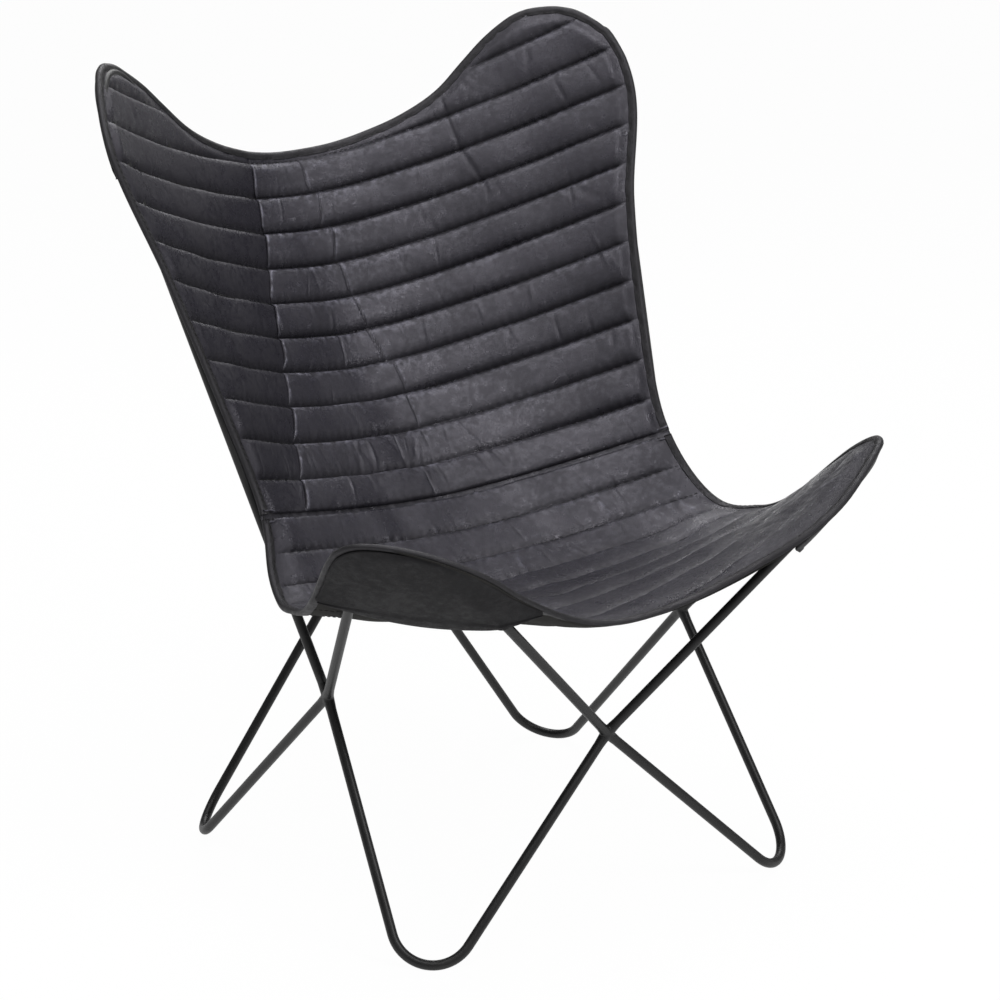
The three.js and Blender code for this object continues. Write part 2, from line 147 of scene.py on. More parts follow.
def tip_centre(weld_a, weld_b, tip):
    return tip + TIP_BEND_RADIUS * unit(unit(weld_a - tip) + unit(weld_b - tip))


def tube(line, radius, sides):
    """Round bar along a flat line, with closed ends."""
    tangent = unit(np.gradient(line, axis=0))
    flat = unit(np.cross(line[-1] - line[0], line[len(line) // 2] - line[0]))
    across = unit(np.cross(tangent, flat))
    angle = np.linspace(0, 2 * pi, sides, endpoint=False)[:, None, None]
    rings = line + radius * (np.cos(angle) * flat + np.sin(angle) * across)
    points = rings.transpose(1, 0, 2).reshape(-1, 3)
    faces = []
    for k in range(len(line) - 1):
        for j in range(sides):
            n = (j + 1) % sides
            faces.append((k * sides + j, k * sides + n, (k + 1) * sides + n, (k + 1) * sides + j))
    faces.append(tuple(range(sides))[::-1])
    faces.append(tuple(range((len(line) - 1) * sides, len(line) * sides)))
    return points, faces


powder_coat, tree, shader = new_finish("satin_powder_coat", 0.42, 0.35)
where = place(tree, "ShaderNodeTexCoord").outputs["Object"]
handling = place(tree, "ShaderNodeTexNoise", {"Vector": where, "Scale": 26, "Detail": 5})
speckle = place(tree, "ShaderNodeTexNoise", {"Vector": where, "Scale": 1400, "Detail": 2})
coat_colour = place(tree, "ShaderNodeValToRGB", {"Fac": handling.outputs["Fac"]})
coat_colour.color_ramp.elements[0].position = 0.35
coat_colour.color_ramp.elements[0].color = (0.0085, 0.0085, 0.009, 1)
coat_colour.color_ramp.elements[1].position = 0.7
coat_colour.color_ramp.elements[1].color = (0.0155, 0.0153, 0.0155, 1)
coat_gloss = place(tree, "ShaderNodeMapRange", {"Value": handling.outputs["Fac"]})
coat_gloss.inputs["To Min"].default_value = 0.36
coat_gloss.inputs["To Max"].default_value = 0.52
coat_peel = bump(tree, speckle.outputs["Fac"], 0.25, 0.00015)
tree.links.new(coat_colour.outputs["Color"], shader.inputs["Base Color"])
tree.links.new(coat_gloss.outputs["Result"], shader.inputs["Roughness"])
tree.links.new(coat_peel, shader.inputs["Normal"])

weld_legs = {"front": [], "rear": [], "left": [], "right": []}
for side, mirror in SIDES.items():
    weld = SIDE_WELD * mirror
    lines = {
        f"front_{side}_foot_rod": ("front", foot_line(weld, FRONT_WELD, FRONT_FOOT * mirror)),
        f"rear_{side}_foot_rod": ("rear", foot_line(weld, REAR_WELD, REAR_FOOT * mirror)),
    }
    for name, middle, tip in (("front", FRONT_WELD, FRONT_TIP), ("back", REAR_WELD, BACK_TIP)):
        centre = tip_centre(weld, middle, (tip + TIP_PULL[f"{name}_{side}"]) * mirror)
        far = "front" if name == "front" else "rear"
        lines[f"{name}_{side}_tip_rod"] = (far, bent_line(weld, middle, centre, TIP_BEND_RADIUS))
    for rod, (far, line) in lines.items():
        points, faces = tube(line, ROD_RADIUS, ROD_SIDES)
        points[:, 2] = np.maximum(points[:, 2], 0)
        add_piece(rod.replace("rod", "bar"), points, faces, powder_coat, "frame_steel", rod)
        weld_legs[side].append((line[0], unit(line[1] - line[0])))
        weld_legs[far].append((line[-1], unit(line[-2] - line[-1])))


# Welds: four rod ends run together in each, fused and ground to a smooth knot with small
# webs between the rods, under the same powder coat.
WELD_REACH = 0.021
WELD_SWELL = 0.0012
WELD_VOXEL = 0.0009
for name, legs in weld_legs.items():
    form = bmesh.new()
    for origin, leg in legs:
        across = unit(np.cross(leg, [0.3, 0.5, 0.8]))
        basis = np.stack([across, np.cross(leg, across), leg], axis=1)
        turn = Matrix.Translation(origin + leg * WELD_REACH / 2) @ Matrix(basis).to_4x4()
        bmesh.ops.create_cone(form, cap_ends=True, segments=24, radius1=ROD_RADIUS + WELD_SWELL,
                              radius2=ROD_RADIUS - 0.0002, depth=WELD_REACH, matrix=turn)
    bmesh.ops.create_uvsphere(form, u_segments=20, v_segments=12, radius=ROD_RADIUS + WELD_SWELL,
                              matrix=Matrix.Translation(legs[0][0]))
    mesh = bpy.data.meshes.new(f"{name}_knot")
    form.to_mesh(mesh)
    form.free()
    mesh.materials.append(powder_coat)
    knot = bpy.data.objects.new(f"{name}_knot", mesh)
    bpy.context.scene.collection.objects.link(knot)
    fused = knot.modifiers.new("fused", "REMESH")
    fused.mode = "VOXEL"
    fused.voxel_size = WELD_VOXEL
    fused.use_smooth_shade = True
    ground = knot.modifiers.new("ground", "SMOOTH")
    ground.factor = 0.5
    ground.iterations = 12
    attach(knot, "root")
    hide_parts(f"{name}_weld")


# Sling lining: plain dark cloth that lies on the rods, sewn through with the channels and
# swollen a little between the stitches. It has the shape of the hanging sling, which is
# crooked, drawn in on the right, taut beside the seat's corners and folded along a crease.
ROD_CLEAR = ROD_RADIUS + 0.0003
SEAM = 4.0
LAST = 7.0
CHANNEL = 1 / 3
STATION = 0.146
SEAM_UP_ROD = 0.207
CORNER_OVER_TIP = 0.045
BACK_EDGE_OUT = (-0.012, 0.029, 0.010, 0.004, 0.012)
BACK_EDGE_OVER = (0.005, 0.0035, 0.002, 0.001, 0.001)
SEAT_EDGE = ((0.3, 0.066, 0.034), (0.56, 0.049, -0.006), (1.29, 0.052, 0.013))
HANG_BACK = (0.143, 0.165, 0.150, 0.121, 0.061, 0.020, -0.031, -0.074)
HANG_DOWN = (0.127, 0.115, 0.102, 0.081, 0.048, 0.036, 0.054, 0.198)
HANG_POWER = 0.8
HANG_ROUND = 0.15
CROOKED = np.array([-0.023, 0.008, 0.004])
RIGHT_DRAWN_IN = 0.006
EDGE_TAUT = (0.012, 0.008)
TAUT_AT = (5.45, 0.42)
FRONT_SAG = 0.014
SAG_AT = (-0.17, 0.21)
LEFT_HIP = 0.006
HIP_AT = (4.5, 0.35)
LEFT_FORWARD = np.array([0.0019, -0.002, 0.0012])
FOLD_DEPTH = 0.010
FOLD_REACH = (0.05, 0.075)
FOLD_WAY = np.array([0, 0.86, -0.5])
MAIN_CREASE = (
    (0.5, 0.64, 0.94, 1.0, 1.27, 1.33, 1.6, 1.67, 1.93, 2.0, 2.23, 2.33, 2.56, 2.67, 2.95, 3.04, 3.31, 3.39,
     3.64, 3.7, 3.9, 4.0),
    (-0.212, -0.224, -0.246, -0.237, -0.265, -0.256, -0.298, -0.301, -0.352, -0.351, -0.393, -0.4, -0.438,
     -0.468, -0.52, -0.528, -0.607, -0.62, -0.684, -0.698, -0.749, -0.77))
CREASE_COLUMN = -0.45
HALF_WIDTH_AT = ((0, 1, 2, 3, 4, 5, 6, 7), (0.440, 0.417, 0.377, 0.335, 0.295, 0.307, 0.344, 0.390))
LINING = 0.0012


def tip_plane(tip, middle):
    """Plane of a right-hand tip's legs: along the side rod, out of the V and to the sitter."""
    line = bent_line(SIDE_WELD, middle, tip_centre(SIDE_WELD, middle, tip), TIP_BEND_RADIUS)
    up = unit(line[1] - line[0])
    to_sitter = unit(np.cross(up, middle - SIDE_WELD))
    to_sitter *= np.sign(to_sitter[2])
    out = np.cross(to_sitter, up)
    out *= np.sign(out[0])
    return up, out, to_sitter, np.linalg.norm(tip - SIDE_WELD), tip_centre(SIDE_WELD, middle, tip)


back_plane = tip_plane(BACK_TIP, REAR_WELD)
front_plane = tip_plane(FRONT_TIP, FRONT_WELD)


def beside_rod(plane, along, out, over):
    up, outwards, to_sitter = plane[:3]
    return SIDE_WELD + up * along + outwards * out + to_sitter * (ROD_CLEAR + over)


corner_along = back_plane[3] + CORNER_OVER_TIP
edge_stations = np.array(
    [beside_rod(back_plane, corner_along + (SEAM_UP_ROD - corner_along) * k / SEAM, out, over)
     for k, (out, over) in enumerate(zip(BACK_EDGE_OUT, BACK_EDGE_OVER))]
    + [beside_rod(front_plane, share * front_plane[3], out, over) for share, out, over in SEAT_EDGE])
hang_stations = np.stack([np.zeros(8), HANG_BACK, -np.array(HANG_DOWN)], axis=1)


def through(stations, q):
    """Smooth curve through evenly spaced stations."""
    i = np.clip(np.floor(q).astype(int), 0, len(stations) - 2)
    f = (q - i)[..., None]
    held = np.vstack([2 * stations[:1] - stations[1:2], stations, 2 * stations[-1:] - stations[-2:-1]])
    a, b, c, d = held[i], held[i + 1], held[i + 2], held[i + 3]
    return 0.5 * (2 * b + (c - a) * f + (2 * a - 5 * b + 4 * c - d) * f**2 + (3 * b - a - 3 * c + d) * f**3)


def hump(value, middle, width):
    """Smooth rise to 1 at the middle."""
    return np.exp(-(((value - middle) / width) ** 2))


def crease(u, q, line):
    """Signed distance over the leather from a crease, positive on its right."""
    return (u - np.interp(q, *line)) * np.interp(q, *HALF_WIDTH_AT)


def sling(u, q):
    """Underside of the sling: u runs from the left edge, -1, to the right, 1; q down its length."""
    edge, hang = through(edge_stations, q), through(hang_stations, q)
    flat = HANG_ROUND ** (2 * HANG_POWER)
    share = ((u * u + HANG_ROUND**2) ** HANG_POWER - flat) / ((1 + HANG_ROUND**2) ** HANG_POWER - flat)
    points = edge + hang * (1 - share)[..., None]
    points[..., 0] = u * edge[..., 0] - RIGHT_DRAWN_IN * np.clip(u, 0, 1) ** 2
    crooked = np.clip(1 - q / SEAM, 0, 1)
    points[..., 0] += CROOKED[0] * crooked
    points[..., 1] += CROOKED[1] * u * crooked
    points[..., 2] += CROOKED[2] * u * crooked
    points += LEFT_FORWARD * (np.clip(-u, 0, 1) * crooked)[..., None]
    taut = hump(q, *TAUT_AT) * ease(np.abs(u), 0.6, 1)
    points[..., 2] += np.where(u < 0, *EDGE_TAUT) * taut
    points[..., 2] -= FRONT_SAG * hump(u, *SAG_AT) * ease(q, 5.6, 6.4)
    points[..., 0] -= LEFT_HIP * hump(q, *HIP_AT) * ease(-u, 0.7, 1)
    beside = crease(u, q, MAIN_CREASE)
    fold = FOLD_DEPTH * np.exp(-np.abs(beside) / np.where(beside < 0, *FOLD_REACH))
    fold *= ease(q, 0.3, 1.1) * ease(4.1 - q, 0, 0.7) * ease(1 - np.abs(u), 0, 0.25)
    return points + FOLD_WAY * fold[..., None]


def sling_normal(u, q, step=1e-3):
    down = sling(u, q + step) - sling(u, q - step)
    over = sling(u + step, q) - sling(u - step, q)
    return unit(np.cross(down, over))


def across_cut(u, q):
    """Distance from the middle line over the leather as it was cut."""
    return u * np.interp(q, *HALF_WIDTH_AT)


def smooth_through(x, knots, values):
    """Smooth curve through unevenly spaced knots."""
    knots, values = np.array(knots), np.array(values)
    slope = np.gradient(values, knots)
    i = np.clip(np.searchsorted(knots, x) - 1, 0, len(knots) - 2)
    width = knots[i + 1] - knots[i]
    t = (x - knots[i]) / width
    rise = values[i] * (1 + 2 * t) * (1 - t) ** 2 + values[i + 1] * t * t * (3 - 2 * t)
    return rise + width * (slope[i] * t * (1 - t) ** 2 - slope[i + 1] * t * t * (1 - t))


NECK_LEFT = (
    (0, 0.14, 0.25, 0.37, 0.5, 0.6, 0.68, 0.77, 0.82, 0.86, 0.91, 0.95, 0.973, 0.99, 1),
    (0.57, 0.57, 0.55, 0.51, 0.41, 0.26, 0.15, 0.095, 0.082, 0.1, 0.165, 0.31, 0.5, 0.72, 0.91))
NECK_RIGHT = (
    (0, 0.14, 0.25, 0.37, 0.5, 0.6, 0.68, 0.742, 0.776, 0.82, 0.862, 0.91, 0.945, 0.966, 0.981, 0.996, 1),
    (0.57, 0.57, 0.55, 0.51, 0.41, 0.26, 0.15, 0.095, 0.077, 0.083, 0.122, 0.196, 0.29, 0.387, 0.475, 0.63,
     0.78))
FRONT = (
    (-1, -0.99, -0.98, -0.972, -0.966, -0.962, -0.95, -0.933, -0.907, -0.861, -0.814, -0.72, -0.644, -0.561,
     -0.455, -0.3, -0.1, 0.12, 0.215, 0.29, 0.355, 0.453, 0.52, 0.585, 0.64, 0.694, 0.731, 0.783, 0.845, 0.89,
     0.93, 0.965, 1),
    (5.3, 5.62, 5.9, 6.1, 6.26, 6.36, 6.5, 6.57, 6.63, 6.695, 6.745, 6.822, 6.85, 6.84, 6.745, 6.65, 6.66,
     6.76, 6.81, 6.87, 6.95, 7.035, 7.05, 7.035, 7.015, 6.99, 6.965, 6.87, 6.67, 6.5, 6.3, 5.98, 5.5))


def follow_crease(v, q):
    """Bends the columns of the back so that one of them stays on the main crease."""
    shift = np.interp(q, *MAIN_CREASE) - CREASE_COLUMN
    return v + shift * np.interp(v, (-0.85, CREASE_COLUMN, 0.6), (0, 1, 0))


def straight_down(v, q):
    return v + 0 * q


def neck_edge(u):
    return np.where(u < 0, smooth_through(np.abs(u), *NECK_LEFT), smooth_through(np.abs(u), *NECK_RIGHT))


def front_edge(u):
    return smooth_through(u, *FRONT)


def panel_columns(first, last, rows, across, bend):
    """Columns of stations down the sling, trimmed to the outline at both ends, and their u."""
    columns, places = [], []
    for v in across:
        start, end = 0.6, SEAM
        for _ in range(8):
            start, end = float(first(bend(v, start))), float(last(bend(v, end)))
        inside = rows[(rows > start + 0.006) & (rows < end - 0.006)]
        columns.append(np.concatenate([[start], inside, [end]]))
        places.append(bend(v, columns[-1]))
    return columns, np.concatenate(places)


def column_faces(columns):
    faces, first = [], 0
    for near, far in zip(columns, columns[1:]):
        second = first + len(near)
        i = j = 0
        while i + 1 < len(near) or j + 1 < len(far):
            near_next = near[i + 1] if i + 1 < len(near) else np.inf
            far_next = far[j + 1] if j + 1 < len(far) else np.inf
            face = [first + i]
            foot = second + j
            if near_next <= far_next:
                i += 1
                face.append(first + i)
            if far_next <= near_next:
                j += 1
                face.append(second + j)
            faces.append(tuple(face + [foot]))
        first = second
    return faces


def closed_sheet(lower, upper, faces):
    """Closed form between two matching sets of points, with the faces of its upper side."""
    count = len(lower)
    rim = {}
    for face in faces:
        for a, b in zip(face, face[1:] + face[:1]):
            if (b, a) in rim:
                del rim[b, a]
            else:
                rim[a, b] = True
    walls = [(count + b, count + a, a, b) for a, b in rim]
    shell = [tuple(count + k for k in face) for face in faces] + [face[::-1] for face in faces]
    return np.vstack([lower, upper]), shell + walls


def channel_rows(first, last, steps):
    """Rows that crowd towards the stitched line at both ends of every channel."""
    phase = (1 - np.cos(np.linspace(0, pi, steps, endpoint=False))) / 2
    starts = np.arange(first, last - 1e-6, CHANNEL)
    return (starts[:, None] + CHANNEL * phase).ravel()


def blend(tree, share, a, b):
    """Colour between two others."""
    given = {"Factor": share, "A": a, "B": b}
    return place(tree, "ShaderNodeMix", given, data_type="RGBA").outputs["Result"]


lining_cloth, tree, shader = new_finish("plain_lining", 0.9, 0.15)
where = place(tree, "ShaderNodeTexCoord").outputs["Object"]
yarn = {"Vector": where, "Scale": 320, "Distortion": 0.8, "Detail": 1}
warp = place(tree, "ShaderNodeTexWave", yarn, bands_direction="X").outputs["Fac"]
weft = place(tree, "ShaderNodeTexWave", yarn, bands_direction="Z").outputs["Fac"]
threads = place(tree, "ShaderNodeMath", {0: warp, 1: weft}, operation="MULTIPLY")
cloudy = place(tree, "ShaderNodeTexNoise", {"Vector": where, "Scale": 18, "Detail": 6})
cloth_colour = blend(tree, cloudy.outputs["Fac"], (0.017, 0.0165, 0.016, 1), (0.034, 0.033, 0.031, 1))
cloth_relief = bump(tree, threads.outputs["Value"], 0.5, 0.0004)
tree.links.new(cloth_colour, shader.inputs["Base Color"])
tree.links.new(cloth_relief, shader.inputs["Normal"])

LINING_SWELL = 0.0025
SEAM_HALF = 0.0033 / STATION
PANELS = {
    "back": (neck_edge, lambda u: SEAM - SEAM_HALF, 0.0, SEAM, follow_crease),
    "seat": (lambda u: SEAM + SEAM_HALF, front_edge, SEAM, LAST + CHANNEL, straight_down),
}
for name, (first, last, start, end, bend) in PANELS.items():
    across = np.concatenate([np.linspace(-1, -0.8, 24, endpoint=False), np.linspace(-0.8, 0.8, 81),
                             np.linspace(1, 0.8, 24, endpoint=False)[::-1]])
    columns, u = panel_columns(first, last, channel_rows(start, end, 6), across, bend)
    q = np.concatenate(columns)
    faces = column_faces(columns)
    away = ease((1 - np.abs(u)) * np.interp(q, *HALF_WIDTH_AT), 0.05, 0.11)
    swell = LINING_SWELL * away * np.abs(np.sin(pi * (q - start) / CHANNEL)) ** 0.7
    upright = sling_normal(u, q)
    lower = sling(u, q) - upright * swell[:, None]
    points, shell = closed_sheet(lower, lower + upright * LINING, faces)
    piece = add_piece(f"{name}_backing", points, shell, lining_cloth, "lining_cloth", f"{name}_lining")


# Quilted panels: charcoal leather over loose wadding, sewn through in rows so that each
# channel is full below its upper stitches and tucks under at its lower ones. The back's
# channels are plump and creased by use, the seat's are pressed nearly flat.
FACE_AT_STITCH = 0.0044
HEM = 0.0085
EDGE_STEP = 0.003
SECOND_CREASE = (
    (0.66, 0.92, 1.0, 1.29, 1.36, 1.64, 1.68, 1.94, 2.07, 2.31, 2.36, 2.66, 2.71, 2.98, 3.06, 3.25, 3.53),
    (-0.019, -0.018, 0.016, -0.011, 0.033, 0.003, 0.023, 0.025, 0.036, 0.044, 0.041, 0.076, 0.092, 0.095,
     0.081, 0.076, 0.053))
CHANNEL_FORM = ((0, 0.03, 0.08, 0.2, 0.4, 0.6, 0.78, 0.9, 0.97, 1),
                (0, 0.4, 0.72, 0.9, 1, 0.98, 0.84, 0.55, 0.22, 0))
COLUMNS = {
    "back": ((-1, -0.85, 45), (-0.85, -0.47, 60), (-0.47, -0.43, 40), (-0.43, -0.03, 130), (-0.03, 0.12, 110),
             (0.12, 0.8, 140), (0.8, 1, 45)),
    "seat": ((-1, -0.8, 50), (-0.8, 0.8, 260), (0.8, 1, 50)),
}
SHOULDER_CREASE = ((0.4, 0.72, 1.01, 1.44), (0.5, 0.494, 0.501, 0.563))


def leather_group():
    """Grained leather: mottled colour, made pale on the ridges by a painted highlight with some wear, and
    darkened in the folds by painted shade.
    """
    group = bpy.data.node_groups.new("grained_leather", "ShaderNodeTree")
    for socket, kind, value in (("Base", "NodeSocketColor", (0.03, 0.03, 0.03, 1)),
                                ("Sheen_and_worn", "NodeSocketColor", (0.1, 0.1, 0.1, 1)),
                                ("Dark_and_shade", "NodeSocketColor", (0.01, 0.01, 0.01, 1)),
                                ("Sheen_and_wear", "NodeSocketFloat", 0.0), ("Painted_shade", "NodeSocketFloat", 0.0),
                                ("Smooth", "NodeSocketFloat", 0.42), ("Rough", "NodeSocketFloat", 0.62)):
        group.interface.new_socket(socket, in_out="INPUT", socket_type=kind).default_value = value
    for socket, kind in (("Color", "NodeSocketColor"), ("Roughness", "NodeSocketFloat"),
                         ("Height", "NodeSocketFloat")):
        group.interface.new_socket(socket, in_out="OUTPUT", socket_type=kind)
    given = place(group, "NodeGroupInput").outputs
    where = place(group, "ShaderNodeTexCoord").outputs["Object"]
    bent = place(group, "ShaderNodeTexNoise", {"Vector": where, "Scale": 160, "Detail": 2})
    drift = place(group, "ShaderNodeVectorMath", {0: bent.outputs["Color"], "Scale": 0.0018},
                  operation="SCALE")
    grain_at = place(group, "ShaderNodeVectorMath", {0: where, 1: drift.outputs["Vector"]}, operation="ADD")
    pebble = place(group, "ShaderNodeTexVoronoi", {"Vector": grain_at.outputs["Vector"], "Scale": 850},
                   feature="DISTANCE_TO_EDGE")
    pebbled = place(group, "ShaderNodeMapRange", {"Value": pebble.outputs["Distance"], "From Max": 0.22})
    patches = place(group, "ShaderNodeTexNoise",
                    {"Vector": where, "Scale": 15, "Detail": 7, "Roughness": 0.62}).outputs["Fac"]
    patchy = place(group, "ShaderNodeMapRange", {"Value": patches, "From Min": 0.33, "From Max": 0.67})
    scuffs = place(group, "ShaderNodeTexNoise",
                   {"Vector": where, "Scale": 125, "Detail": 4, "Roughness": 0.62}).outputs["Fac"]
    scuffed = place(group, "ShaderNodeMapRange", {"Value": scuffs, "From Min": 0.42, "From Max": 0.68})
    mottled = blend(group, patchy.outputs["Result"], given["Dark_and_shade"], given["Base"])
    some = blend(group, 0.62, mottled, given["Base"])
    # Painted highlight: where the given mask is high, the colour turns towards the pale bluish colour; a
    # little of it is real wear.
    rubbed_sheen = place(group, "ShaderNodeMath", {0: given["Sheen_and_wear"], 1: scuffed.outputs["Result"]},
                   operation="MULTIPLY")
    worn_and_sheen = blend(group, rubbed_sheen.outputs["Value"], some, given["Sheen_and_worn"])
    # Painted shade: where the shade mask is high, the colour turns towards the dark colour.
    shaded = blend(group, given["Painted_shade"], worn_and_sheen, given["Dark_and_shade"])
    uneven = place(group, "ShaderNodeMath", {0: patches, 1: scuffs}, operation="ADD")
    gloss = place(group, "ShaderNodeMapRange",
                  {"Value": uneven.outputs["Value"], "From Min": 0.86, "From Max": 1.16,
                   "To Min": given["Rough"], "To Max": given["Smooth"]})
    relief = place(group, "ShaderNodeMath", {0: pebbled.outputs["Result"], 1: scuffs}, operation="ADD")
    shown = place(group, "NodeGroupOutput").inputs
    group.links.new(shaded, shown["Color"])
    group.links.new(gloss.outputs["Result"], shown["Roughness"])
    group.links.new(relief.outputs["Value"], shown["Height"])
    return group


grained_leather = leather_group()


def leather(name, base, worn_and_sheen, dark_and_shade, smooth, rough, specular, marked=False):
    material, tree, shader = new_finish(name, rough, specular)
    shader.inputs["Specular Tint"].default_value = (0.93, 0.9, 1.0, 1)
    hide = place(tree, "ShaderNodeGroup", node_tree=grained_leather)
    for socket, value in (("Base", base), ("Sheen_and_worn", worn_and_sheen), ("Dark_and_shade", dark_and_shade)):
        hide.inputs[socket].default_value = (*value, 1)
    hide.inputs["Smooth"].default_value = smooth
    hide.inputs["Rough"].default_value = rough
    # Marked leather reads its painted highlight mask and painted shade mask from its points.
    if marked:
        for socket, attribute in (("Sheen_and_wear", "sheen_and_wear"), ("Painted_shade", "fold")):
            stored = place(tree, "ShaderNodeAttribute", attribute_name=attribute)
            tree.links.new(stored.outputs["Fac"], hide.inputs[socket])
    relief = bump(tree, hide.outputs["Height"], 0.4, 0.0003)
    tree.links.new(hide.outputs["Color"], shader.inputs["Base Color"])
    tree.links.new(hide.outputs["Roughness"], shader.inputs["Roughness"])
    tree.links.new(relief, shader.inputs["Normal"])
    return material


def outline(name):
    """Free edge of a panel, in order, sampled every 3 mm: u and q."""
    far = np.linspace(-1, 1, 1601)
    if name == "back":
        edge = neck_edge(far)
        left = np.linspace(SEAM - SEAM_HALF, edge[0], 300)
        right = np.linspace(edge[-1], SEAM - SEAM_HALF, 300)
        u = np.concatenate([np.full(300, -1.0), far[1:-1], np.full(300, 1.0)])
        q = np.concatenate([left, edge[1:-1], right])
    else:
        edge = front_edge(far)
        right = np.linspace(SEAM + SEAM_HALF, edge[-1], 200)
        left = np.linspace(SEAM + SEAM_HALF, edge[0], 200)
        u = np.concatenate([np.full(200, 1.0), far[1:-1][::-1], np.full(200, -1.0)])
        q = np.concatenate([right, edge[1:-1][::-1], left[::-1]])
    length = np.concatenate([[0], np.cumsum(np.linalg.norm(np.diff(sling(u, q), axis=0), axis=1))])
    even = np.linspace(0, length[-1], int(length[-1] / EDGE_STEP))
    return np.interp(even, length, u), np.interp(even, length, q)


def distance_to(points, line):
    nearest = [np.sqrt(((part[:, None] - line) ** 2).sum(-1)).min(1) for part in np.array_split(points, 60)]
    return np.concatenate(nearest)


def wrinkles(s, t, count, spread, seed, lean_by):
    """Short dents that cross the channels, each with its own place, lean, length and depth."""
    chance = np.random.default_rng(seed)
    height = np.zeros(len(s))
    for _ in range(count):
        at_s, at_t = chance.uniform(*spread[0]), chance.uniform(*spread[1])
        lean = chance.normal(0, lean_by)
        length, width = chance.uniform(0.007, 0.024), chance.uniform(0.0012, 0.0032)
        depth = chance.uniform(0.0004, 0.0013) * chance.choice([-1, -1, 1])
        ds, dt = s - at_s, t - at_t
        along = dt * cos(lean) + ds * sin(lean)
        over = ds * cos(lean) - dt * sin(lean)
        near = (np.abs(along) < 3 * length) & (np.abs(over) < 4 * width)
        height[near] += depth * np.exp(-((along[near] / length) ** 2) - (over[near] / width) ** 2)
    return height


def ripples(s, t, seed, size):
    """Slow uneven swell of soft leather."""
    chance = np.random.default_rng(seed)
    height = np.zeros(len(s))
    for _ in range(14):
        turn, phase = chance.uniform(0, pi), chance.uniform(0, 2 * pi)
        wave = 2 * pi / chance.uniform(0.05, 0.14)
        height += np.sin(wave * (s * cos(turn) + 0.6 * t * sin(turn)) + phase)
    return height * size / 14**0.5


def mark(piece, name, values):
    """Stores one number a point on a piece, for its leather to read."""
    piece.data.attributes.new(name, "FLOAT", "POINT").data.foreach_set("value", values.astype(np.float32))


